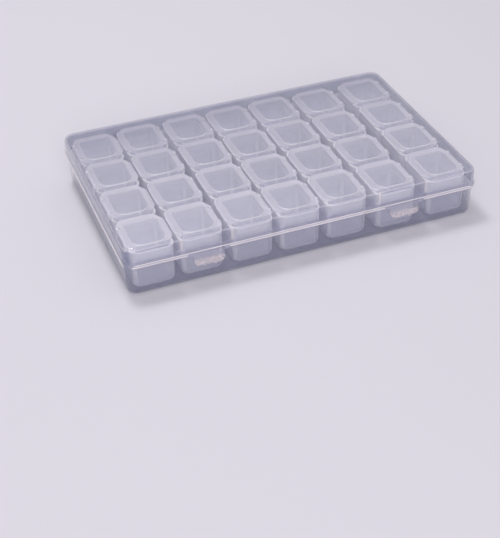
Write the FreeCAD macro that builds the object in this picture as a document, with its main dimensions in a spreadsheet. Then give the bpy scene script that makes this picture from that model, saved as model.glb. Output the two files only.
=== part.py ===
import FreeCAD, Part
import os
import re
import Sketcher

# A flat storage case with a hinged cover, two snap latches and seven lift-out strips of four lidded cups.
# X runs to the right, Y to the back and Z up, in millimetres.
# The origin is the middle of the tray's underside, without the hinges and the latches.

doc = FreeCAD.newDocument("parts_case")
sheet = doc.addObject("Spreadsheet::Sheet", "Sizes")

SIZES = [
    # The case, closed
    ("case_width", 175.0, "over the rim, left to right"),
    ("case_depth", 113.0, "over the rim, front to back"),
    ("case_height", 25.0, "tray and cover together"),
    ("parting_height", 15.9, "where the cover meets the tray"),
    ("case_wall", 1.1, "walls, floor and top"),
    ("corner_radius", 6.0, "upright corners of the rim"),
    ("rim_thickness", 1.1, "each of the two rims"),
    ("rim_edge_radius", 0.35, "rounding of the rims' outer edges"),
    ("seat_gap", 0.05, "flat faces that rest on each other"),
    # The tray
    ("tray_inset", 0.9, "the tray's wall behind the rim's edge"),
    ("tray_draft", 0.95, "how far the wall leans in at the floor"),
    ("floor_radius", 2.0, "rounding where walls meet the floor"),
    ("lip_height", 1.2, "locating lip above the parting"),
    ("lip_thickness", 0.7, "locating lip"),
    ("lip_root", 2.5, "locating lip below the parting"),
    ("lip_clearance", 0.15, "between the lip and the cover"),
    # The cover
    ("cover_inset", 0.4, "the cover's wall behind the rim's edge"),
    ("cover_draft", 0.2, "how far the wall leans in at the top"),
    ("top_radius", 2.2, "rounding where walls meet the top"),
    ("gate_across", 3.4, "moulding mark on the top, to the right of the middle"),
    ("gate_back", 42.0, "moulding mark on the top, behind the middle"),
    ("gate_radius", 1.8, "moulding mark"),
    ("gate_groove", 0.5, "width of the mark's groove"),
    ("gate_depth", 0.2, "depth of the mark's groove"),
    # The ribs inside the cover, beside each latch
    ("rib_spread", 12.0, "rib to the middle of its latch"),
    ("rib_width", 1.4, "left to right"),
    ("rib_reach", 0.9, "from the wall inwards"),
    ("rib_lift", 1.5, "lower end above the parting"),
    ("rib_foot_width", 1.5, "foot beyond the rib, to the left"),
    ("rib_foot_height", 0.8, "foot at the rib's lower end"),
    # The snap latches
    ("latch_offset", 48.3, "latch to the middle of the case"),
    ("latch_width", 14.4, "tongue"),
    ("latch_drop", 5.75, "from the axis to the lower edge"),
    ("latch_thickness", 1.0, "tongue"),
    ("latch_gap", 0.3, "between the tongue and its plate"),
    ("grip_reach", 0.8, "grip beyond the tongue's face"),
    ("grip_height", 2.9, "grip at the lower end"),
    ("grip_corner", 1.5, "cut at the grip's lower corners"),
    ("tooth_width", 0.9, "tooth below the grip"),
    ("tooth_height", 0.6, "tooth below the grip"),
    ("tooth_offset", 2.6, "tooth to the middle of the latch"),
    ("latch_pin_radius", 0.35, "stub pin at each end"),
    ("cheek_width", 2.2, "cheek at each end of a latch"),
    ("cheek_wall", 0.25, "around a stub pin"),
    ("side_clearance", 0.15, "between a latch and the parts around it"),
    ("pin_clearance", 0.05, "between a pin and its hole, all round"),
    # The plates on the tray behind the latches
    ("plate_width", 19.8, "left to right"),
    ("plate_bottom", 6.6, "lower edge above the underside"),
    ("plate_inset", 1.0, "face behind the rim's edge"),
    ("plate_root", 1.5, "from the face into the wall"),
    ("plate_radius", 1.5, "lower corners"),
    ("catch_radius", 0.4, "ridge that the latch snaps over"),
    ("catch_width", 11.0, "ridge, left to right"),
    # The hinge at the back
    ("hinge_offset", 52.0, "hinge to the middle of the case"),
    ("hinge_radius", 2.2, "lug and ears"),
    ("hinge_standoff", 0.2, "between the ears and the cover's rim"),
    ("hinge_pin_radius", 1.1, "pin on the cover's lug"),
    ("lug_width", 9.0, "lug of the cover"),
    ("ear_width", 3.0, "each ear of the tray"),
    ("ear_gap", 0.3, "between the lug and an ear"),
    # The strips of cups
    ("strip_margin", 1.3, "strips' lids to the cover's wall at the left"),
    ("strip_gap", 2.1, "spare room beside each strip"),
    ("end_gap", 1.8, "strip's end to the cover's wall"),
    ("cup_wall", 1.0, "cup walls and floor"),
    ("cup_overhang", 0.7, "lid beyond the cup at the sides"),
    ("cup_corner", 4.5, "upright corners"),
    ("cup_draft", 0.38, "how far a cup's wall leans in at its floor"),
    ("cup_floor_radius", 3.2, "rounding at a cup's floor, outside"),
    # The flip lids
    ("lid_thickness", 1.3, "plate"),
    ("lid_panel_rise", 0.5, "panel above the plate's edge"),
    ("lid_headroom", 0.95, "lids below the cover's ceiling"),
    ("lid_gap", 0.45, "between two lids of a strip"),
    ("lid_edge_radius", 0.35, "rounding of the plate's upper edge"),
    ("free_cut_across", 3.4, "corner cut on the free side, across"),
    ("free_cut_along", 6.2, "corner cut on the free side, along"),
    ("hinge_cut_across", 2.4, "corner cut on the hinge side, across"),
    ("hinge_cut_along", 4.6, "corner cut on the hinge side, along"),
    ("panel_width", 15.6, "raised panel, across"),
    ("panel_length", 20.8, "raised panel, along"),
    ("panel_radius", 4.5, "rounding of the panel's corners"),
    ("panel_edge_radius", 0.4, "rounding of the panel's upper edge"),
    ("lid_corner_radius", 3.4, "rounding of the outline's corners"),
    ("plug_clearance", 0.2, "plug inside the cup's mouth"),
    ("plug_thickness", 0.7, "plug ring"),
    ("plug_depth", 1.3, "plug ring below the plate"),
    ("lid_pin_radius", 0.45, "pin of a flip lid"),
    ("post_offset", 6.2, "hinge post to the middle of its cup"),
    ("post_thickness", 1.3, "hinge post along the strip"),
    ("post_radius", 0.95, "round end of a hinge post"),
    ("post_drop", 3.2, "hinge post below its axis"),
    ("post_clearance", 0.2, "slot in the lid around a post"),
]

NAMES = []
for row, (alias, number, note) in enumerate(SIZES, start=1):
    sheet.set("A%d" % row, alias)
    sheet.set("B%d" % row, repr(number))
    sheet.set("C%d" % row, note)
    sheet.setAlias("B%d" % row, alias)
    NAMES.append(alias)
doc.recompute()

STRIPS = 7
CUPS = 4
# Where each strip lies in its room, as a share of the spare room beside it
STRIP_SIDE_SHARES = (0.24, -0.43, -0.52, -1.1, -1.48, -1.43, -0.38)
# Where each strip lies between the front and the back, as a share of the room at its end
STRIP_END_SHARES = (-0.14, 0.33, 0.33, 0.26, 0.4, -0.12, 0.23)
# The first strip stands the other way round, with its hinges on the left
TURNED_STRIPS = (1,)

DERIVED = {
    "cover_bottom": "parting_height + seat_gap",
    "cover_ceiling": "case_height - case_wall",
    "inner_half_width": "case_width / 2 - cover_inset - case_wall",
    "inner_half_depth": "case_depth / 2 - cover_inset - case_wall",
    "lip_half_width": "inner_half_width - lip_clearance",
    "lip_half_depth": "inner_half_depth - lip_clearance",
    "plate_face": "case_depth / 2 - plate_inset",
    "latch_axis_front": "plate_face + latch_gap + latch_thickness / 2",
    "latch_axis_height": "cover_bottom - latch_thickness / 2 - side_clearance",
    "hinge_axis_back": "case_depth / 2 + hinge_standoff + hinge_radius",
    "hinge_axis_height": "cover_bottom",
    "hinge_span": "lug_width + 2 * ear_gap + 2 * ear_width",
    "cheek_radius": "latch_pin_radius + pin_clearance + cheek_wall",
    "strip_room": "(2 * inner_half_width - 2 * strip_margin + strip_gap) / %d" % STRIPS,
    "lid_width": "strip_room - strip_gap",
    "cup_width": "lid_width - 2 * cup_overhang",
    "strip_length": "2 * inner_half_depth - 2 * end_gap",
    "cup_pitch": "(strip_length - cup_wall) / %d" % CUPS,
    "cup_length": "cup_pitch + cup_wall",
    "lid_length": "cup_pitch - lid_gap",
    "cup_bottom": "case_wall + seat_gap",
    "lid_top": "cover_ceiling - lid_headroom - lid_panel_rise",
    "lid_bottom": "lid_top - lid_thickness",
    "cup_top": "lid_bottom - seat_gap",
    "lid_axis_side": "(lid_width - lid_thickness) / 2",
    "lid_axis_height": "lid_bottom + lid_thickness / 2",
    "slot_depth": "post_radius + post_clearance",
}


def expand(formula):
    """Write a formula of size names as an expression on the sheet."""
    def word(match):
        name = match.group(0)
        if name in DERIVED:
            return "(" + expand(DERIVED[name]) + ")"
        if name in NAMES:
            return "Sizes." + name
        return name
    return re.sub(r"[A-Za-z_][A-Za-z_0-9]*", word, formula)


def value(formula):
    """Work a formula out as a number."""
    result = sheet.evalExpression(expand(formula))
    return float(getattr(result, "Value", result))


def bind(thing, target, formula):
    thing.setExpression(target, expand(formula))


def origin_part(body, role):
    """Find one of a body's own planes or axes."""
    return [item for item in body.Origin.OriginFeatures if item.Role == role][0]


def new_body(name):
    body = doc.addObject("PartDesign::Body", name)
    body.Label = name
    return body


def new_sketch(body, name, role, offset):
    """Start a sketch parallel to an origin plane, moved along the plane's normal."""
    sketch = body.newObject("Sketcher::SketchObject", name)
    sketch.AttachmentSupport = [(origin_part(body, role), "")]
    sketch.MapMode = "FlatFace"
    bind(sketch, "AttachmentOffset.Base.z", offset)
    return sketch


def add_polygon(sketch, points):
    """Add a closed outline whose corners are held by formulas of their two places."""
    places = [FreeCAD.Vector(value(across), value(along), 0) for across, along in points]
    first = sketch.GeometryCount
    for start, end in zip(places, places[1:] + places[:1]):
        sketch.addGeometry(Part.LineSegment(start, end))
    count = len(points)
    for index, (across, along) in enumerate(points):
        line = first + index
        before = first + (index - 1) % count
        sketch.addConstraint(Sketcher.Constraint("Coincident", before, 2, line, 1))
        for kind, formula in (("DistanceX", across), ("DistanceY", along)):
            held = sketch.addConstraint(Sketcher.Constraint(kind, -1, 1, line, 1, value(formula)))
            bind(sketch, "Constraints[%d]" % held, formula)


def add_rectangle(sketch, low_x, low_y, high_x, high_y):
    add_polygon(sketch, [(low_x, low_y), (high_x, low_y), (high_x, high_y), (low_x, high_y)])


def add_circle(sketch, centre_x, centre_y, radius):
    centre = FreeCAD.Vector(value(centre_x), value(centre_y), 0)
    circle = sketch.addGeometry(Part.Circle(centre, FreeCAD.Vector(0, 0, 1), value(radius)))
    for kind, formula in (("DistanceX", centre_x), ("DistanceY", centre_y)):
        held = sketch.addConstraint(Sketcher.Constraint(kind, -1, 1, circle, 3, value(formula)))
        bind(sketch, "Constraints[%d]" % held, formula)
    held = sketch.addConstraint(Sketcher.Constraint("Radius", circle, value(radius)))
    bind(sketch, "Constraints[%d]" % held, radius)


def set_length(feature, length, reverse, both, lean):
    """Give a pad or a pocket its length, and let its sides lean in by lean over that length."""
    bind(feature, "Length", length)
    feature.Reversed = reverse
    feature.Midplane = both
    if lean:
        bind(feature, "TaperAngle", "-atan((%s) / (%s))" % (lean, length))
    doc.recompute()
    if not feature.isValid():
        raise RuntimeError("%s: %s" % (feature.Name, feature.getStatusString()))


def pad(body, name, sketch, length, reverse=False, both=False, lean=None):
    """Add a sketch raised by a length."""
    feature = body.newObject("PartDesign::Pad", name)
    feature.Profile = sketch
    set_length(feature, length, reverse, both, lean)
    return feature


def pocket(body, name, sketch, length, reverse=False, both=False, lean=None):
    """Cut a sketch out by a length, and make sure that it removes material."""
    before = body.Shape.Volume
    feature = body.newObject("PartDesign::Pocket", name)
    feature.Profile = sketch
    set_length(feature, length, reverse, both, lean)
    if body.Shape.Volume >= before:
        raise RuntimeError(name + " cuts nothing")
    return feature


def edges_where(shape, test):
    return ["Edge%d" % (i + 1) for i, edge in enumerate(shape.Edges) if test(edge.BoundBox)]


def is_upright(box):
    return box.ZLength > box.XLength + box.YLength


def at_height(formula):
    """Give a test for edges that lie flat at a height."""
    height = value(formula)
    near = value("seat_gap") / 10
    return lambda box: abs(box.ZMin - height) < near and abs(box.ZMax - height) < near


def fillet(body, name, test, radius):
    base = body.Tip
    feature = body.newObject("PartDesign::Fillet", name)
    feature.Base = (base, edges_where(base.Shape, test))
    bind(feature, "Radius", radius)
    doc.recompute()
    return feature


def rounded_block(body, name, level, half_x, half_y, radius, length, reverse, lean):
    """Add a block with upright round corners, whose sides lean in away from its sketch."""
    sketch = new_sketch(body, name + "_outline", "XY_Plane", level)
    add_rounded_rectangle(sketch, half_x, half_y, radius)
    return pad(body, name, sketch, length, reverse=reverse, lean=lean)


def rounded_room(body, name, level, half_x, half_y, radius, length, reverse, lean):
    """Cut a room with upright round corners, whose sides lean in away from its sketch."""
    sketch = new_sketch(body, name + "_outline", "XY_Plane", level)
    add_rounded_rectangle(sketch, half_x, half_y, radius)
    return pocket(body, name, sketch, length, reverse=reverse, lean=lean)


def round_rim(body, name, low, high):
    """Round the outer edges of a rim that lies between two heights."""
    near = value("seat_gap") / 10
    half_x, half_y = value("case_width / 2"), value("case_depth / 2")
    flat_low, flat_high = at_height(low), at_height(high)

    def outer(box):
        reach_x = max(abs(box.XMin), abs(box.XMax))
        reach_y = max(abs(box.YMin), abs(box.YMax))
        outside = reach_x > half_x - near or reach_y > half_y - near
        return outside and (flat_low(box) or flat_high(box))
    fillet(body, name, outer, "rim_edge_radius")


def ring(body, name, level, half_x, half_y, radius, thickness, length, reverse):
    """Add an upright ring with rounded corners; half_x and half_y are its outer half sizes."""
    sketch = new_sketch(body, name + "_outline", "XY_Plane", level)
    for inset in ("0", thickness):
        add_rounded_rectangle(sketch, "%s - (%s)" % (half_x, inset), "%s - (%s)" % (half_y, inset),
                              "%s - (%s)" % (radius, inset))
    return pad(body, name, sketch, length, reverse=reverse)


def add_rounded_rectangle(sketch, half_x, half_y, radius):
    """Add a rectangle about the sketch's origin with four equal round corners."""
    wide, deep, round_size = value(half_x), value(half_y), value(radius)
    first = sketch.GeometryCount
    corners = ((1, 1), (-1, 1), (-1, -1), (1, -1))
    quarter = 90.0
    for index, (side_x, side_y) in enumerate(corners):
        centre = FreeCAD.Vector(side_x * (wide - round_size), side_y * (deep - round_size), 0)
        circle = Part.Circle(centre, FreeCAD.Vector(0, 0, 1), round_size)
        start = index * quarter
        turn = FreeCAD.Units.Quantity(1, FreeCAD.Units.Angle).getValueAs("rad").Value
        sketch.addGeometry(Part.ArcOfCircle(circle, start * turn, (start + quarter) * turn))
    for index in range(len(corners)):
        following = (index + 1) % len(corners)
        start = sketch.Geometry[first + index].EndPoint
        end = sketch.Geometry[first + following].StartPoint
        line = sketch.addGeometry(Part.LineSegment(start, end))
        sketch.addConstraint(Sketcher.Constraint("Tangent", first + index, 2, line, 1))
        sketch.addConstraint(Sketcher.Constraint("Tangent", line, 2, first + following, 1))
        direction = "Horizontal" if index % 2 == 0 else "Vertical"
        sketch.addConstraint(Sketcher.Constraint(direction, line))
    for index in range(1, len(corners)):
        sketch.addConstraint(Sketcher.Constraint("Equal", first, first + index))
    held = sketch.addConstraint(Sketcher.Constraint("Radius", first, round_size))
    bind(sketch, "Constraints[%d]" % held, radius)
    for arc, side in ((first, ""), (first + 2, "-")):
        for kind, half in (("DistanceX", half_x), ("DistanceY", half_y)):
            formula = "%s((%s) - (%s))" % (side, half, radius)
            held = sketch.addConstraint(Sketcher.Constraint(kind, -1, 1, arc, 3, value(formula)))
            bind(sketch, "Constraints[%d]" % held, formula)


def along_x(body, name, centre, length, draw, cut=False):
    """Pad or cut a profile drawn in Y and Z, evenly to both sides of a place on X."""
    sketch = new_sketch(body, name + "_profile", "YZ_Plane", centre)
    draw(sketch)
    make = pocket if cut else pad
    return make(body, name, sketch, length, both=True)


def build_case_base():
    """Tray with drafted walls, an outward rim, a locating lip, latch plates and hinge ears."""
    body = new_body("case_base")
    rounded_block(body, "tray", "parting_height", "case_width / 2 - tray_inset",
                  "case_depth / 2 - tray_inset", "corner_radius - tray_inset",
                  "parting_height", reverse=True, lean="tray_draft")
    fillet(body, "floor_rounding", at_height("0 * case_wall"), "floor_radius")
    rounded_room(body, "tray_room", "parting_height", "case_width / 2 - tray_inset - case_wall",
                 "case_depth / 2 - tray_inset - case_wall", "corner_radius - tray_inset - case_wall",
                 "parting_height - case_wall", reverse=False, lean="tray_draft")
    fillet(body, "room_rounding", at_height("case_wall"), "floor_radius - case_wall")

    ring(body, "tray_rim", "parting_height", "case_width / 2", "case_depth / 2", "corner_radius",
         "tray_inset + case_wall / 2", "rim_thickness", reverse=True)
    round_rim(body, "tray_rim_edges", "parting_height - rim_thickness", "parting_height")
    ring(body, "locating_lip", "parting_height + lip_height", "lip_half_width", "lip_half_depth",
         "corner_radius - cover_inset - case_wall - lip_clearance", "lip_thickness",
         "lip_height + lip_root", reverse=True)

    for side, word in (("-", "left"), ("", "right")):
        latch_place = side + "latch_offset"
        low_x = latch_place + " - plate_width / 2"
        high_x = latch_place + " + plate_width / 2"

        # The rim stops short in front of each latch plate
        notch = new_sketch(body, "rim_notch_outline_" + word, "XY_Plane", "parting_height")
        add_rectangle(notch, low_x, "-(case_depth / 2 + rim_thickness)", high_x, "-plate_face")
        pocket(body, "rim_notch_" + word, notch, "rim_thickness")

        # XZ sketches face the front, so their own X runs with the case and their Y runs up
        plate = new_sketch(body, "latch_plate_outline_" + word, "XZ_Plane", "plate_face")
        add_polygon(plate, [
            (low_x + " + plate_radius", "plate_bottom"),
            (high_x + " - plate_radius", "plate_bottom"),
            (high_x, "plate_bottom + plate_radius"),
            (high_x, "parting_height"),
            (low_x, "parting_height"),
            (low_x, "plate_bottom + plate_radius"),
        ])
        pad(body, "latch_plate_" + word, plate, "plate_root", reverse=True)

        def draw_catch(sketch):
            add_circle(sketch, "-plate_face", "(plate_bottom + parting_height) / 2", "catch_radius")
        along_x(body, "latch_catch_" + word, latch_place, "catch_width", draw_catch)

        for end in ("-", "+"):
            place = "%shinge_offset %s (lug_width / 2 + ear_gap + ear_width / 2)" % (side, end)
            name = "hinge_ear_%s_%s" % (word, "outer" if end == (side or "+") else "inner")

            def draw_arm(sketch):
                add_rectangle(sketch, "case_depth / 2 - tray_inset - case_wall / 2",
                              "hinge_axis_height - hinge_radius", "hinge_axis_back", "parting_height")

            def draw_end(sketch):
                add_circle(sketch, "hinge_axis_back", "hinge_axis_height", "hinge_radius")
            along_x(body, name + "_arm", place, "ear_width", draw_arm)
            along_x(body, name, place, "ear_width", draw_end)

    def draw_bore(sketch):
        add_circle(sketch, "hinge_axis_back", "hinge_axis_height", "hinge_pin_radius + pin_clearance")
    along_x(body, "hinge_bore", "0 * case_width", "case_width", draw_bore, cut=True)
    return body


def build_case_lid():
    """Shallow cover with an outward rim, ribs beside the latches, latch seats and hinge lugs."""
    body = new_body("case_lid")
    rounded_block(body, "cover", "cover_bottom", "case_width / 2 - cover_inset",
                  "case_depth / 2 - cover_inset", "corner_radius - cover_inset",
                  "case_height - cover_bottom", reverse=False, lean="cover_draft")
    fillet(body, "top_rounding", at_height("case_height"), "top_radius")
    rounded_room(body, "cover_room", "cover_bottom", "inner_half_width", "inner_half_depth",
                 "corner_radius - cover_inset - case_wall", "cover_ceiling - cover_bottom",
                 reverse=True, lean="cover_draft")
    fillet(body, "ceiling_rounding", at_height("cover_ceiling"), "top_radius - case_wall")

    gate = new_sketch(body, "gate_mark_outline", "XY_Plane", "case_height")
    for inset in ("0 * gate_groove", "gate_groove"):
        add_circle(gate, "gate_across", "gate_back", "gate_radius - " + inset)
    pocket(body, "gate_mark", gate, "gate_depth")

    ring(body, "cover_rim", "cover_bottom", "case_width / 2", "case_depth / 2", "corner_radius",
         "cover_inset + case_wall / 2", "rim_thickness", reverse=False)
    round_rim(body, "cover_rim_edges", "cover_bottom", "cover_bottom + rim_thickness")

    for side, word in (("-", "left"), ("", "right")):
        latch_place = side + "latch_offset"

        for end, name in (("-", "rib_left_of_"), ("+", "rib_right_of_")):
            middle = "%s %s rib_spread" % (latch_place, end)
            rib = new_sketch(body, name + word + "_outline", "XY_Plane", "cover_bottom + rib_lift")
            add_rectangle(rib, middle + " - rib_width / 2", "-(inner_half_depth + case_wall / 4)",
                          middle + " + rib_width / 2", "-(inner_half_depth - rib_reach)")
            pad(body, name + word, rib, "cover_ceiling + case_wall / 4 - cover_bottom - rib_lift")
            foot = new_sketch(body, name + word + "_foot_outline", "XY_Plane", "cover_bottom + rib_lift")
            add_rectangle(foot, middle + " - rib_width / 2 - rib_foot_width",
                          "-(inner_half_depth + case_wall / 4)",
                          middle, "-(inner_half_depth - rib_reach)")
            pad(body, name + word + "_foot", foot, "rib_foot_height")

        # A cheek below the rim at each end of the latch holds its stub pin
        for end, name in (("-", "cheek_left_of_"), ("+", "cheek_right_of_")):
            middle = "%s %s (latch_width / 2 + side_clearance + cheek_width / 2)" % (latch_place, end)

            def draw_cheek(sketch):
                add_rectangle(sketch, "-(latch_axis_front + cheek_radius)", "latch_axis_height",
                              "-(plate_face + side_clearance)", "cover_bottom + rim_thickness / 2")

            def draw_round(sketch):
                add_circle(sketch, "-latch_axis_front", "latch_axis_height", "cheek_radius")
            along_x(body, name + word + "_block", middle, "cheek_width", draw_cheek)
            along_x(body, name + word, middle, "cheek_width", draw_round)

        def draw_hole(sketch):
            add_circle(sketch, "-latch_axis_front", "latch_axis_height", "latch_pin_radius + pin_clearance")
        along_x(body, "latch_pin_holes_" + word, latch_place,
                "latch_width + 2 * side_clearance + 2 * cheek_width", draw_hole, cut=True)

        hinge_place = side + "hinge_offset"

        def draw_arm(sketch):
            add_rectangle(sketch, "inner_half_depth + case_wall / 2", "cover_bottom",
                          "hinge_axis_back", "hinge_axis_height + hinge_radius")

        def draw_end(sketch):
            add_circle(sketch, "hinge_axis_back", "hinge_axis_height", "hinge_radius")

        def draw_pin(sketch):
            add_circle(sketch, "hinge_axis_back", "hinge_axis_height", "hinge_pin_radius")
        along_x(body, "hinge_lug_arm_" + word, hinge_place, "lug_width", draw_arm)
        along_x(body, "hinge_lug_" + word, hinge_place, "lug_width", draw_end)
        along_x(body, "hinge_pin_" + word, hinge_place, "hinge_span", draw_pin)
    return body


def build_latch(word, side):
    """Snap tongue with a round head on its axis, a flared grip, two teeth and two stub pins."""
    body = new_body("latch_" + word)
    place = side + "latch_offset"
    face = "-(latch_axis_front + latch_thickness / 2)"
    back = "-(latch_axis_front - latch_thickness / 2)"
    bottom = "latch_axis_height - latch_drop"

    def draw_tongue(sketch):
        add_polygon(sketch, [
            (back, bottom + " + latch_thickness / 4"),
            (back, "latch_axis_height"),
            (face, "latch_axis_height"),
            (face, bottom + " + grip_height"),
            (face + " - grip_reach", bottom + " + latch_thickness / 2"),
            (face + " - grip_reach + latch_thickness / 4", bottom),
            (back + " - latch_thickness / 4", bottom),
        ])

    def draw_head(sketch):
        add_circle(sketch, "-latch_axis_front", "latch_axis_height", "latch_thickness / 2")

    def draw_pin(sketch):
        add_circle(sketch, "-latch_axis_front", "latch_axis_height", "latch_pin_radius")

    def draw_groove(sketch):
        add_circle(sketch, "-plate_face", "(plate_bottom + parting_height) / 2",
                   "catch_radius + side_clearance")
    along_x(body, "tongue_" + word, place, "latch_width", draw_tongue)
    along_x(body, "head_" + word, place, "latch_width", draw_head)
    along_x(body, "catch_groove_" + word, place, "latch_width", draw_groove, cut=True)

    # The two lower corners are cut off at a slant
    front = "latch_axis_front + latch_thickness / 2 + 2 * grip_reach"
    for end, name in (("-", "corner_left_"), ("+", "corner_right_")):
        edge = "%s %s latch_width / 2" % (place, end)
        inwards = "+" if end == "-" else "-"
        corner = new_sketch(body, name + word + "_outline", "XZ_Plane", front)
        add_polygon(corner, [
            ("%s %s grip_corner" % (edge, inwards), bottom),
            ("%s %s grip_corner" % (edge, inwards), bottom + " - tooth_height"),
            ("%s %s grip_corner" % (edge, end), bottom + " - tooth_height"),
            ("%s %s grip_corner" % (edge, end), bottom + " + grip_corner"),
            (edge, bottom + " + grip_corner"),
        ])
        pocket(body, name + word, corner, "2 * latch_thickness + 4 * grip_reach")

    for end, name in (("-", "tooth_left_"), ("+", "tooth_right_")):
        middle = "%s %s tooth_offset" % (place, end)
        tooth = new_sketch(body, name + word + "_outline", "XY_Plane", bottom + " - tooth_height")
        add_rectangle(tooth, middle + " - tooth_width / 2", face + " - grip_reach + latch_thickness / 4",
                      middle + " + tooth_width / 2", face)
        pad(body, name + word, tooth, "2 * tooth_height")
    along_x(body, "stub_pins_" + word, place,
            "latch_width + 2 * side_clearance + 2 * cheek_width", draw_pin)
    return body


def build_cup_outside():
    """One strip's outside: four drafted cups in a row, each with two hinge posts."""
    body = new_body("cups_outside")
    rounded_block(body, "cup", "cup_top", "cup_width / 2", "cup_length / 2", "cup_corner",
                  "cup_top - cup_bottom", reverse=True, lean="cup_draft")
    fillet(body, "cup_floor_rounding", at_height("cup_bottom"), "cup_floor_radius")
    for end, word in (("-", "front"), ("", "back")):
        place = "%s(post_offset)" % end

        # A sketch on the XZ plane looks to the front, so places along Y count backwards
        post = new_sketch(body, "post_outline_" + word, "XZ_Plane", place + " + post_thickness / 2")
        add_rectangle(post, "lid_axis_side - post_radius", "lid_axis_height - post_drop",
                      "lid_axis_side + post_radius", "lid_axis_height")
        pad(body, "post_" + word, post, "post_thickness", reverse=True)
        end_sketch = new_sketch(body, "post_end_outline_" + word, "XZ_Plane",
                                place + " + post_thickness / 2")
        add_circle(end_sketch, "lid_axis_side", "lid_axis_height", "post_radius")
        pad(body, "post_end_" + word, end_sketch, "post_thickness", reverse=True)
    hole = new_sketch(body, "post_hole_outline", "XZ_Plane", "0 * case_width")
    add_circle(hole, "lid_axis_side", "lid_axis_height", "lid_pin_radius + pin_clearance")
    pocket(body, "post_holes", hole, "cup_pitch", both=True)
    repeat_cups(body)
    return body


def build_cup_inside():
    """The room in one strip's four cups."""
    body = new_body("cups_inside")
    rounded_block(body, "room", "cup_top", "cup_width / 2 - cup_wall", "cup_length / 2 - cup_wall",
                  "cup_corner - cup_wall", "cup_top - cup_bottom - cup_wall", reverse=True,
                  lean="cup_draft")
    fillet(body, "room_floor_rounding", at_height("cup_bottom + cup_wall"), "cup_floor_radius - cup_wall")
    repeat_cups(body)
    return body


def repeat_cups(body):
    """Repeat all of a body along Y, and set the row about its middle."""
    tip = body.Tip
    row = body.newObject("PartDesign::LinearPattern", body.Name + "_row")
    row.TransformMode = "Whole shape"
    row.Originals = []
    row.Direction = (origin_part(body, "Y_Axis"), [""])
    row.Occurrences = CUPS
    bind(row, "Length", "cup_pitch * %d" % (CUPS - 1))
    body.Tip = row
    doc.recompute()
    if row.Shape.Volume < tip.Shape.Volume * (CUPS - 1):
        raise RuntimeError(body.Name + " has too few cups")
    bind(body, "Placement.Base.y", "-cup_pitch * %d / 2" % (CUPS - 1))
    doc.recompute()


def build_strip():
    """One strip: the row of cups with their room cut out."""
    strip = doc.addObject("Part::Cut", "strip_form")
    strip.Base = build_cup_outside()
    strip.Tool = build_cup_inside()
    doc.recompute()
    return strip


def lid_outline():
    """Corners of a flip lid's outline; the free side is at negative X."""
    cut = "(hinge_cut_across - (lid_width / 2 - lid_axis_side))"
    return [
        ("-lid_width / 2", "-(lid_length / 2 - free_cut_along)"),
        ("-(lid_width / 2 - free_cut_across)", "-lid_length / 2"),
        ("lid_axis_side - " + cut, "-lid_length / 2"),
        ("lid_axis_side", "-(lid_length / 2 - hinge_cut_along)"),
        ("lid_axis_side", "lid_length / 2 - hinge_cut_along"),
        ("lid_axis_side - " + cut, "lid_length / 2"),
        ("-(lid_width / 2 - free_cut_across)", "lid_length / 2"),
        ("-lid_width / 2", "lid_length / 2 - free_cut_along"),
    ]


def build_lid():
    """One flip lid: a plate with a raised panel, a round hinge edge on a pin, and a plug ring."""
    body = new_body("lid_form")
    outline = new_sketch(body, "plate_outline", "XY_Plane", "lid_bottom")
    add_polygon(outline, lid_outline())
    pad(body, "plate", outline, "lid_thickness")
    fillet(body, "plate_corners", is_upright, "lid_corner_radius")
    fillet(body, "plate_edges", at_height("lid_top"), "lid_edge_radius")
    panel = new_sketch(body, "panel_outline", "XY_Plane", "lid_top")
    add_rounded_rectangle(panel, "panel_width / 2", "panel_length / 2", "panel_radius")
    pad(body, "panel", panel, "lid_panel_rise")
    fillet(body, "panel_edges", at_height("lid_top + lid_panel_rise"), "panel_edge_radius")

    def along_y(name, length, radius):
        sketch = new_sketch(body, name + "_outline", "XZ_Plane", "0 * lid_width")
        add_circle(sketch, "lid_axis_side", "lid_axis_height", radius)
        pad(body, name, sketch, length, both=True)
    along_y("round_edge", "lid_length - 2 * hinge_cut_along", "lid_thickness / 2")

    for end, word in (("-", "front"), ("", "back")):
        slot = new_sketch(body, "post_slot_outline_" + word, "XY_Plane", "lid_top + lid_panel_rise")
        half = "(post_thickness / 2 + post_clearance)"
        add_rectangle(slot, "lid_axis_side - slot_depth", "%s(post_offset) - %s" % (end, half),
                      "lid_axis_side + slot_depth", "%s(post_offset) + %s" % (end, half))
        pocket(body, "post_slot_" + word, slot, "lid_thickness + 2 * lid_panel_rise")
    along_y("pin", "2 * post_offset + post_thickness", "lid_pin_radius")

    inset = "(cup_wall + plug_clearance)"
    ring(body, "plug", "lid_bottom + lid_thickness / 2", "cup_width / 2 - " + inset,
         "cup_length / 2 - " + inset, "cup_corner - " + inset, "plug_thickness",
         "plug_depth + lid_thickness / 2", reverse=True)
    doc.recompute()
    return body


def place_copy(name, form, turned, across, along):
    """Stand a copy of a form in the case, as a piece of its own."""
    piece = doc.addObject("Part::Feature", name)
    piece.Label = name
    piece.Shape = form.Shape.copy()
    half_turn = 180.0
    turn = half_turn if turned else 0
    piece.Placement = FreeCAD.Placement(FreeCAD.Vector(0, 0, 0),
                                        FreeCAD.Rotation(FreeCAD.Vector(0, 0, 1), turn))
    bind(piece, "Placement.Base.x", across)
    bind(piece, "Placement.Base.y", along)
    return piece


pieces = [build_case_base(), build_case_lid(), build_latch("left", "-"), build_latch("right", "")]
strip_form = build_strip()
lid_form = build_lid()

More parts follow.
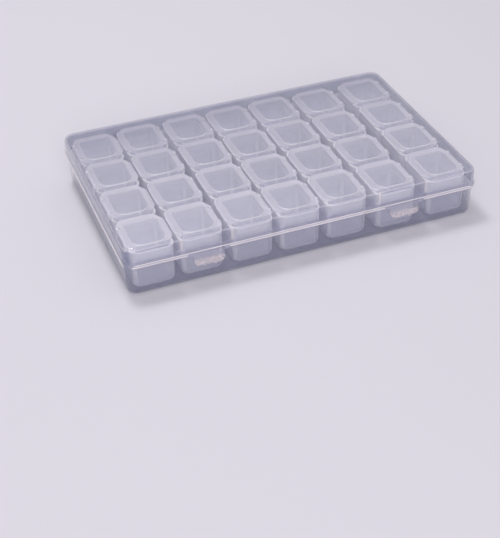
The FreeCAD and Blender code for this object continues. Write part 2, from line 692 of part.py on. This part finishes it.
for strip in range(1, STRIPS + 1):
    turned = strip in TURNED_STRIPS
    across = "strip_room * %s + strip_gap * %s" % (
        repr(strip - (STRIPS + 1) / 2), repr(STRIP_SIDE_SHARES[strip - 1]))
    along = "end_gap * %s" % repr(STRIP_END_SHARES[strip - 1])
    # The cut keeps its place in its shape, so only the strip's own place is added
    pieces.append(place_copy("strip_%d" % strip, strip_form, turned, across, along))
    for cup in range(1, CUPS + 1):
        cup_place = "%s + cup_pitch * %s" % (along, repr((CUPS + 1) / 2 - cup))
        pieces.append(place_copy("flip_lid_%d_%d" % (strip, cup), lid_form, turned, across, cup_place))
doc.recompute()

for item in doc.Objects:
    if "Invalid" in item.State or "Error" in item.State:
        raise RuntimeError("%s failed: %s" % (item.Name, item.State))

os.makedirs("parts", exist_ok=True)
for piece in pieces:
    shape = piece.Shape
    if shape.isNull() or not shape.isValid() or len(shape.Solids) != 1:
        raise RuntimeError("%s is not one valid solid" % piece.Label)
    shape.exportStep(os.path.join("parts", piece.Label + ".step"))
    box = shape.BoundBox
    print("%-14s %9.2f mm3  x %7.2f %7.2f  y %7.2f %7.2f  z %6.2f %6.2f" % (
        piece.Label, shape.Volume, box.XMin, box.XMax, box.YMin, box.YMax, box.ZMin, box.ZMax))
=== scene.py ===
import bpy
from mathutils import Matrix, Vector


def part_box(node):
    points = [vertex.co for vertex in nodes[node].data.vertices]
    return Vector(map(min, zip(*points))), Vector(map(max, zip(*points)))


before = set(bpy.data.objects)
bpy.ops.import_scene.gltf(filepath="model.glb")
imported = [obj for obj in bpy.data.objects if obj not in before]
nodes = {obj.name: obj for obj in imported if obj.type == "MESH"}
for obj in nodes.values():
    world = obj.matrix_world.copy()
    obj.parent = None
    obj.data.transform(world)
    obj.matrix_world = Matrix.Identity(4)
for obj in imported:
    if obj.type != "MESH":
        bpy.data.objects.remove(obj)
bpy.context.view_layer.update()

MM = 0.001
STRIPS = range(1, 8)
CUPS = range(1, 5)
scene = bpy.context.scene

# Sizes of the closed case in millimetres, as its source has them
HALF_WIDTH = 87.5
HALF_DEPTH = 56.5
CASE_HEIGHT = 25.0
PARTING = 15.9
RIM_THICKNESS = 1.1
PANEL_TOP = 22.95
PLATE_TOP = 22.45
CUP_TOP = 21.1
CUP_BOTTOM = 1.15
LATCH_OFFSET = 48.3
LATCH_BOTTOM = 9.55
GRIP_HEIGHT = 2.9
RIB_SPREAD = 12.0

# Heights of the zones and painted highlight lines on the pieces: low and high, or only the low edge
TRAY_GROUND = (0.0, 1.3)
TRAY_FOOT = (-0.1, 0.5)
TRAY_LINE = (PARTING - 0.45, PARTING + 0.1)
TRAY_UNDER_LINE = (PARTING - RIM_THICKNESS - 0.1, PARTING - 0.6)
COVER_UNDER_LINE = (PARTING - 0.1, PARTING + 0.6)
COVER_LINE = (PARTING + 0.75, PARTING + 1.3)
COVER_SHOULDER = (CASE_HEIGHT - 0.9, CASE_HEIGHT - 0.05)
CUP_BEND = (CUP_BOTTOM + 0.3, CUP_BOTTOM + 2.6)
CUP_LIP = (CUP_TOP - 0.4, CUP_TOP + 0.1)
CUP_MOUTH = CUP_TOP - 2.5
LID_PLATE = PLATE_TOP - 0.3
LID_PANEL = (PANEL_TOP - 0.04, PANEL_TOP + 0.5)
LATCH_GRIP = (LATCH_BOTTOM - 1.0, LATCH_BOTTOM + GRIP_HEIGHT - 0.3)
# Where the ribs get a painted highlight: to each side of a latch's middle, and to the front from the
# case's middle
RIB_SIDES = (RIB_SPREAD - 0.9, RIB_SPREAD + 2.4)
RIB_DEPTHS = (54.0, 54.75)
# The cover's painted shade, for the dark surroundings that it shows and mirrors, is bluest from here to
# the back, and turns so over the stretch in front of it
PAINTED_SHADE_FROM = 45.0
PAINTED_SHADE_OVER = 40.0

# How far in from the case's outside the zones at its walls, round edges and rims reach, in millimetres
TRAY_WALL = 2.0
COVER_WALL_SIDE = 2.6
COVER_WALL_BACK = 3.1
TRAY_RIM = 0.8
COVER_RIM = 0.3

# Slopes between which a mask comes in: 0 is a level face and 1 an upright one
UPRIGHT = (0.3, 0.9)
RIB_SLOPE = (0.7, 0.9)
FOOT_SLOPE = (0.2, 0.6)
SHOULDER_SLOPE = (0.1, 0.4)
BEND_SLOPE = (0.05, 0.5)
LID_EDGE_SLOPE = (0.02, 0.5)
# The same for how far a face turns to the side, and for the product of its two level directions, which
# is 0.5 halfway round a corner
SIDEWAYS = (0.3, 0.9)
CORNER_TURN = (0.36, 0.5)

# Zones of a flip lid in millimetres, counted from a start just before its front edge
LID_START = 0.2
LID_FRONT = 1.9
LID_PANEL_END = 19.8

# The plastic, with the sizes and the strengths of its patterns
IOR = 1.49
SPARK_SIZE = 0.35 * MM
SPARK_DEPTH = 0.02 * MM
CLOUD_SIZE = 19.0 * MM
MOTTLE_SIZE = 1.3 * MM
SCATTER_DEPTH = 1.5 * MM
PATTERN_DETAIL = 2.0
PATTERN_RANGE = (0.3, 0.7)
SPARK_STRENGTH = 0.012
DULLNESS_SPREAD = 0.04
SHINE_ROUGHNESS_SHARE = 0.6
MILKINESS = (0.9, 1.1)
MOTTLE_RANGE = (0.35, 0.65)
MOTTLE_SOLID = (0.15, 0.4)
# The share that a face of gloss 1 mirrors, seen straight on and at a flat angle, and how late it grows
MIRRORED_STRAIGHT = 0.04
MIRRORED_FLAT = 0.8
MIRRORED_POWER = 5.0

FLOOR_SIZE = 6.0
FLOOR_GAP = 0.2 * MM
# A ray down to a cup's floor and back crosses more see-through faces than Blender's own limit of 8
SEE_THROUGH_FACES = 40


# Material nodes

def linear(hex_colour):
    """sRGB hex to linear red, green, blue and alpha."""
    values = [int(hex_colour[i:i + 2], 16) / 255 for i in (0, 2, 4)]
    return tuple(v / 12.92 if v <= 0.04045 else ((v + 0.055) / 1.055) ** 2.4 for v in values) + (1.0,)


def add(tree, kind, links=None, **settings):
    """Add a node: settings are its properties, and links are the values or the outputs for its sockets."""
    node = tree.nodes.new("ShaderNode" + kind)
    for name, value in settings.items():
        setattr(node, name, value)
    for socket, source in (links or {}).items():
        if isinstance(source, bpy.types.NodeSocket):
            tree.links.new(source, node.inputs[socket])
        else:
            node.inputs[socket].default_value = source
    return node


def new_material(name):
    """A material with an empty node tree."""
    material = bpy.data.materials.new(name)
    material.use_nodes = True
    material.node_tree.nodes.clear()
    return material, material.node_tree


def noise(tree, place, size):
    """A cloudy pattern between 0 and 1 whose clouds are about size metres across."""
    return add(tree, "TexNoise", {"Vector": place, "Scale": 1 / size,
                                  "Detail": PATTERN_DETAIL}).outputs["Fac"]


def stretch(tree, value, low, high, to_low=0.0, to_high=1.0):
    """Map a value from low..high to to_low..to_high, and hold it at the ends."""
    return add(tree, "MapRange", {"Value": value, "From Min": low, "From Max": high, "To Min": to_low,
                                  "To Max": to_high}).outputs["Result"]


def maths(tree, operation, a, b=0.0):
    """One sum with a and, where the operation takes two values, b."""
    return add(tree, "Math", {0: a, 1: b}, operation=operation).outputs[0]


def unsigned(tree, value):
    """A value without its sign."""
    return maths(tree, "ABSOLUTE", value)


def both(tree, a, b):
    """1 where two masks are."""
    return maths(tree, "MULTIPLY", a, b)


def either(tree, *masks):
    """1 where at least one of the masks is."""
    joined = masks[0]
    for mask in masks[1:]:
        joined = maths(tree, "MAXIMUM", joined, mask)
    return joined


def blend(tree, share, colour_a, colour_b):
    """Mix two colours: a where share is 0 and b where it is 1."""
    return add(tree, "Mix", {0: share, 6: colour_a, 7: colour_b}, data_type="RGBA").outputs[2]


def towards(tree, start, *steps):
    """Start from a value and, for each mask and value in steps, move to that value where the mask is 1."""
    for mask, target in steps:
        start = add(tree, "Mix", {0: mask, 2: start, 3: target}, data_type="FLOAT").outputs[0]
    return start


# Masks by place: distances are sockets in metres, edges and softness are in millimetres

def beyond(tree, distance, edge, soft):
    """1 past an edge, fading in over soft before it."""
    return stretch(tree, distance, (edge - soft) * MM, edge * MM)


def short_of(tree, distance, edge, soft):
    """1 up to an edge, fading out over soft after it."""
    return stretch(tree, distance, edge * MM, (edge + soft) * MM, 1.0, 0.0)


def band(tree, distance, low, high, soft=0.15):
    """1 between low and high, fading out over soft on both sides."""
    return both(tree, beyond(tree, distance, low, soft), short_of(tree, distance, high, soft))


def steepness(tree, facing):
    """0 on level faces and 1 on upright ones."""
    return maths(tree, "SUBTRACT", 1.0, unsigned(tree, facing["Z"]))


def outside_walls(tree, place, inset):
    """1 on what stands out from the case's walls: its rims and hinges."""
    side = beyond(tree, unsigned(tree, place["X"]), HALF_WIDTH - inset + 0.2, 0.2)
    end = beyond(tree, unsigned(tree, place["Y"]), HALF_DEPTH - inset + 0.2, 0.2)
    return either(tree, side, end)


def beside_latches(tree, place, low, high):
    """1 between two distances from the middle of the nearest latch."""
    from_latch = maths(tree, "SUBTRACT", unsigned(tree, place["X"]), LATCH_OFFSET * MM)
    return band(tree, unsigned(tree, from_latch), low, high, 0.1)


# The plastic

def polypropylene(name, describe, roughness, gloss, scatter=0.0):
    """Moulded polypropylene, a milky see-through plastic.

    describe(tree, place, facing) gives its colour and how solid it looks. place is the place on the closed
    case and facing the way that the surface faces, both split into X, Y and Z. scatter is the share of the
    milk's light that comes from below its surface.
    """
    material, tree = new_material(name)
    coordinates = add(tree, "TexCoord")
    place = coordinates.outputs["Object"]
    colour, solid = describe(tree, add(tree, "SeparateXYZ", {0: place}).outputs,
                             add(tree, "SeparateXYZ", {0: coordinates.outputs["Normal"]}).outputs)

    # The fine spark texture of the mould
    spark = noise(tree, place, SPARK_SIZE)
    relief = add(tree, "Bump", {"Height": spark, "Strength": SPARK_STRENGTH,
                                "Distance": SPARK_DEPTH}).outputs["Normal"]
    dull = stretch(tree, spark, *PATTERN_RANGE, roughness - DULLNESS_SPREAD, roughness + DULLNESS_SPREAD)
    # Slow clouds in the melt make some places milkier
    milky = stretch(tree, noise(tree, place, CLOUD_SIZE), *PATTERN_RANGE, *MILKINESS)
    solid = add(tree, "Math", {0: solid, 1: milky}, operation="MULTIPLY", use_clamp=True).outputs[0]

    milk = add(tree, "BsdfPrincipled", {"Base Color": colour, "Roughness": dull, "Alpha": solid,
                                        "IOR": IOR, "Normal": relief, "Subsurface Weight": scatter,
                                        "Subsurface Radius": (1.0, 1.0, 1.0),
                                        "Subsurface Scale": SCATTER_DEPTH})
    shine = add(tree, "BsdfGlossy", {"Color": (1, 1, 1, 1), "Normal": relief,
                                     "Roughness": roughness * SHINE_ROUGHNESS_SHARE})
    # What a face mirrors grows towards a flat view, alike from both sides of a thin wall
    flatness = add(tree, "LayerWeight", {"Blend": 0.5}).outputs["Facing"]
    mirrored = stretch(tree, maths(tree, "POWER", flatness, MIRRORED_POWER), 0.0, 1.0,
                       MIRRORED_STRAIGHT * gloss, MIRRORED_FLAT * gloss)
    plastic = add(tree, "MixShader", {0: mirrored, 1: milk.outputs[0], 2: shine.outputs[0]})
    add(tree, "OutputMaterial", {"Surface": plastic.outputs[0]})
    return material


# Colours and see-through, one for each kind of piece, with painted light and shade on all but the latches

def tray_colour_and_painted_light(tree, place, facing):
    """A cool grey violet, partly its own tone and partly painted shade as over a dark ground, with painted
    highlight lines along its rim and its lower edge, and its side walls bluer in painted shade.
    """
    # Painted highlight lines along the rim's top and along the foot at the lower edge; the band under the
    # rim is only more solid
    rim = outside_walls(tree, place, TRAY_RIM)
    painted_rim_highlight = both(tree, rim, band(tree, place["Z"], *TRAY_LINE, 0.1))
    under = both(tree, rim, band(tree, place["Z"], *TRAY_UNDER_LINE))
    ground = band(tree, place["Z"], *TRAY_GROUND, 0.5)
    painted_foot_highlight = both(tree, band(tree, place["Z"], *TRAY_FOOT, 0.1),
                stretch(tree, steepness(tree, facing), *FOOT_SLOPE))
    # Painted shade: the side walls bluer and more solid, as over a dark ground
    side = both(tree, stretch(tree, unsigned(tree, facing["X"]), *SIDEWAYS),
                beyond(tree, unsigned(tree, place["X"]), HALF_WIDTH - TRAY_WALL, 1.0))
    # The light colour here is painted highlight: the rim line in full and the foot line at 0.6
    light = either(tree, painted_rim_highlight, both(tree, painted_foot_highlight, 0.6))
    colour = blend(tree, ground, linear("9698AE"), linear("989BB2"))
    colour = blend(tree, side, colour, linear("868DAA"))
    colour = blend(tree, light, colour, linear("F2ECEA"))
    solid = towards(tree, 0.21, (side, 0.3), (ground, 0.42), (painted_foot_highlight, 0.5), (under, 0.24), (painted_rim_highlight, 0.6))
    return colour, solid


def cover_colour_and_painted_light(tree, place, facing):
    """The clearest piece: a thin veil in painted shade that is bluer at the back and greyer on its walls
    and margins, with painted highlights on its lines and ribs.
    """
    steep = steepness(tree, facing)
    # Painted shade: the upright walls are a darker grey than the top
    painted_wall_shade = stretch(tree, steep, *UPRIGHT)
    # Painted shade of the dark surroundings that the back of the cover shows and mirrors
    painted_back_shade = beyond(tree, place["Y"], PAINTED_SHADE_FROM, PAINTED_SHADE_OVER)
    # Painted shade where the top runs out at the back and on the right, and on the walls below it, as over
    # a dark ground
    painted_margin_shade = either(tree, beyond(tree, place["Y"], HALF_DEPTH - COVER_WALL_BACK, 0.8),
                    beyond(tree, place["X"], HALF_WIDTH - COVER_WALL_SIDE, 0.8))
    painted_far_wall_shade = both(tree, painted_wall_shade, painted_margin_shade)
    # Painted shade on the side walls, bluer and more solid
    side = both(tree, painted_wall_shade, beyond(tree, unsigned(tree, place["X"]), HALF_WIDTH - COVER_WALL_SIDE, 0.8))
    # Painted highlight lines: the rim, the round edge of the top, and the ribs beside the latches
    rim = outside_walls(tree, place, COVER_RIM)
    painted_rim_highlight = both(tree, rim, band(tree, place["Z"], *COVER_LINE, 0.1))
    under = both(tree, rim, band(tree, place["Z"], *COVER_UNDER_LINE))
    painted_shoulder_highlight = both(tree, stretch(tree, steep, *SHOULDER_SLOPE), band(tree, place["Z"], *COVER_SHOULDER))
    to_front = maths(tree, "MULTIPLY", place["Y"], -1.0)
    painted_rib_highlight = both(tree, band(tree, to_front, *RIB_DEPTHS, 0.05), beside_latches(tree, place, *RIB_SIDES))
    painted_rib_highlight = both(tree, painted_rib_highlight, stretch(tree, steep, *RIB_SLOPE))
    light = either(tree, painted_rim_highlight, painted_rib_highlight, both(tree, painted_shoulder_highlight, 0.6))
    colour = blend(tree, painted_back_shade, linear("C5C9E0"), linear("7E86A6"))
    colour = blend(tree, painted_wall_shade, colour, linear("A6AAC4"))
    colour = blend(tree, either(tree, side, painted_margin_shade), colour, linear("828AAA"))
    colour = blend(tree, light, colour, linear("FFF6F2"))
    solid = towards(tree, 0.07, (painted_back_shade, 0.12), (painted_margin_shade, 0.16), (painted_wall_shade, 0.15), (side, 0.3), (painted_far_wall_shade, 0.42),
                    (painted_shoulder_highlight, 0.44), (under, 0.34), (painted_rib_highlight, 0.4), (painted_rim_highlight, 0.62))
    return colour, solid


def latch_finish(tree, place, facing):
    """A clear tongue with a rough, mottled grip along its lower edge."""
    grip = band(tree, place["Z"], *LATCH_GRIP, 0.4)
    mottle = noise(tree, add(tree, "TexCoord").outputs["Object"], MOTTLE_SIZE)
    solid = towards(tree, 0.12, (grip, stretch(tree, mottle, *MOTTLE_RANGE, *MOTTLE_SOLID)))
    return blend(tree, grip, linear("D0CFDE"), linear("E8DEDE")), solid


def strip_colour_and_painted_light(tree, place, facing):
    """Frosted cups: whiter and more solid to their mouths in painted light, with painted highlight lines
    down their corners and round their floors.
    """
    # Painted light: the walls whiter and more solid towards the mouths, standing in for light scattered in
    # the plastic into the shaded gaps
    painted_mouth_glow = beyond(tree, place["Z"], CUP_MOUTH, 5.6)
    lip = band(tree, place["Z"], *CUP_LIP, 0.1)
    # Painted highlights round the floors and down the corners
    painted_bend_highlight = both(tree, band(tree, place["Z"], *CUP_BEND, 0.4),
                stretch(tree, steepness(tree, facing), *BEND_SLOPE))
    painted_corner_highlight = stretch(tree, unsigned(tree, both(tree, facing["X"], facing["Y"])), *CORNER_TURN)
    colour = blend(tree, either(tree, painted_mouth_glow, painted_bend_highlight, painted_corner_highlight), linear("E8EAFA"), linear("F5F5FF"))
    solid = towards(tree, 0.25, (painted_mouth_glow, 0.6), (painted_corner_highlight, 0.65), (painted_bend_highlight, 0.6), (lip, 0.8))
    return colour, solid


def lid_colour_and_painted_highlight(strip):
    """The colours of one strip's flip lids, with painted highlights on their edges."""
    back_lid, next_lid = (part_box("flip_lid_%d_%d" % (strip, cup))[0].y for cup in (1, 2))
    # Counting starts in the gap before a lid, so that its front face doesn't fall on a seam
    start = next_lid - LID_START * MM

    def describe(tree, place, facing):
        """A milky border with white edges, partly the plastic seen edge-on and partly painted highlight,
        clearer and bluish at its front and on its raised panel.
        """
        from_front = maths(tree, "FLOORED_MODULO", maths(tree, "SUBTRACT", place["Y"], start),
                           back_lid - next_lid)
        top = beyond(tree, place["Z"], LID_PLATE, 0.3)
        panel = both(tree, band(tree, place["Z"], *LID_PANEL, 0.03),
                     short_of(tree, from_front, LID_PANEL_END, 1.6))
        front = short_of(tree, from_front, LID_FRONT, 0.7)
        # The steep edges: more solid where the plastic is seen edge-on, and whiter as painted highlight
        edge = stretch(tree, steepness(tree, facing), *LID_EDGE_SLOPE)
        colour = blend(tree, edge, linear("F4F2FD"), linear("FFFEFF"))
        colour = blend(tree, either(tree, panel, front), colour, linear("C8CCE2"))
        solid = towards(tree, 0.08, (top, 0.36), (panel, 0.26), (edge, 0.62), (front, 0.25))
        return colour, solid

    return describe


def dress(node, material):
    """Give every slot of a node's mesh one material."""
    for slot in nodes[node].material_slots:
        slot.material = material


tray_plastic = polypropylene("moulded_polypropylene_tray", tray_colour_and_painted_light, roughness=0.22, gloss=0.9)
cover_plastic = polypropylene("moulded_polypropylene_cover", cover_colour_and_painted_light, roughness=0.2, gloss=1.0)
latch_plastic = polypropylene("moulded_polypropylene_latch", latch_finish, roughness=0.3, gloss=0.8)
strip_plastic = polypropylene("frosted_polypropylene_strip", strip_colour_and_painted_light, roughness=0.35, gloss=0.6,
                              scatter=0.8)

dress("case_base", tray_plastic)
dress("case_lid", cover_plastic)
for side in ("left", "right"):
    dress("latch_" + side, latch_plastic)
for strip in STRIPS:
    dress("strip_%d" % strip, strip_plastic)
    lid_plastic = polypropylene("frosted_polypropylene_flip_lid_%d" % strip, lid_colour_and_painted_highlight(strip),
                                roughness=0.3, gloss=3.0)
    for cup in CUPS:
        dress("flip_lid_%d_%d" % (strip, cup), lid_plastic)


# The floor, a matt pale card that takes the object's shadow

bpy.ops.object.select_all(action="DESELECT")
bpy.ops.mesh.primitive_plane_add(size=FLOOR_SIZE, location=(0, 0, -FLOOR_GAP))
floor = bpy.context.object
floor.name = "floor"
card, tree = new_material("pale_card_floor")
surface = add(tree, "BsdfPrincipled", {"Base Color": linear("CCCCD0"), "Roughness": 0.9})
add(tree, "OutputMaterial", {"Surface": surface.outputs[0]})
floor.data.materials.append(card)


# Light

def softbox(name, place, size, power):
    """Hang a square lamp that points at the object: place and size in metres, power in watts."""
    data = bpy.data.lights.new(name, "AREA")
    data.size = size
    data.energy = power
    data.color = linear("FFFAFF")[:3]
    lamp = bpy.data.objects.new(name, data)
    scene.collection.objects.link(lamp)
    lamp.location = place
    lamp.rotation_euler = (-Vector(place)).to_track_quat("-Z", "Y").to_euler()


# The key light hangs where the front left corners of the lids' panels mirror it as bright dots
softbox("key_light", (-0.12, 0.37, 0.98), size=0.25, power=4.9)
softbox("front_fill", (-0.3, -1.1, 0.7), size=0.7, power=8.5)
# A wide panel behind the case is mirrored in the front part of the cover's top
softbox("back_panel", (0.35, 0.98, 1.25), size=0.9, power=1.0)

world = bpy.data.worlds.new("studio")
scene.world = world
world.use_nodes = True
world.node_tree.nodes.clear()
sky = add(world.node_tree, "Background", {"Color": linear("F5F1FA"), "Strength": 0.56})
add(world.node_tree, "OutputWorld", {"Surface": sky.outputs[0]})

scene.view_settings.view_transform = "Standard"
scene.cycles.transparent_max_bounces = SEE_THROUGH_FACES


# The camera looks from the front and a little from the left, about 36 degrees down

camera_data = bpy.data.cameras.new("photo_camera")
camera = bpy.data.objects.new("photo_camera", camera_data)
scene.collection.objects.link(camera)
scene.camera = camera
camera_data.lens = 81.07
camera_data.sensor_width = 36.0
camera_data.clip_start = 0.02
camera_data.clip_end = 20.0
eye = Vector((-179.72, -476.10, 327.54)) * MM
forward = Vector((0.27193, 0.75884, -0.59180)).normalized()
right = Vector((0.93394, -0.35634, -0.02779)).normalized()
up = right.cross(forward).normalized()
right = forward.cross(up).normalized()
turn = Matrix((right, up, -forward)).transposed()
camera.matrix_world = Matrix.Translation(eye) @ turn.to_4x4()
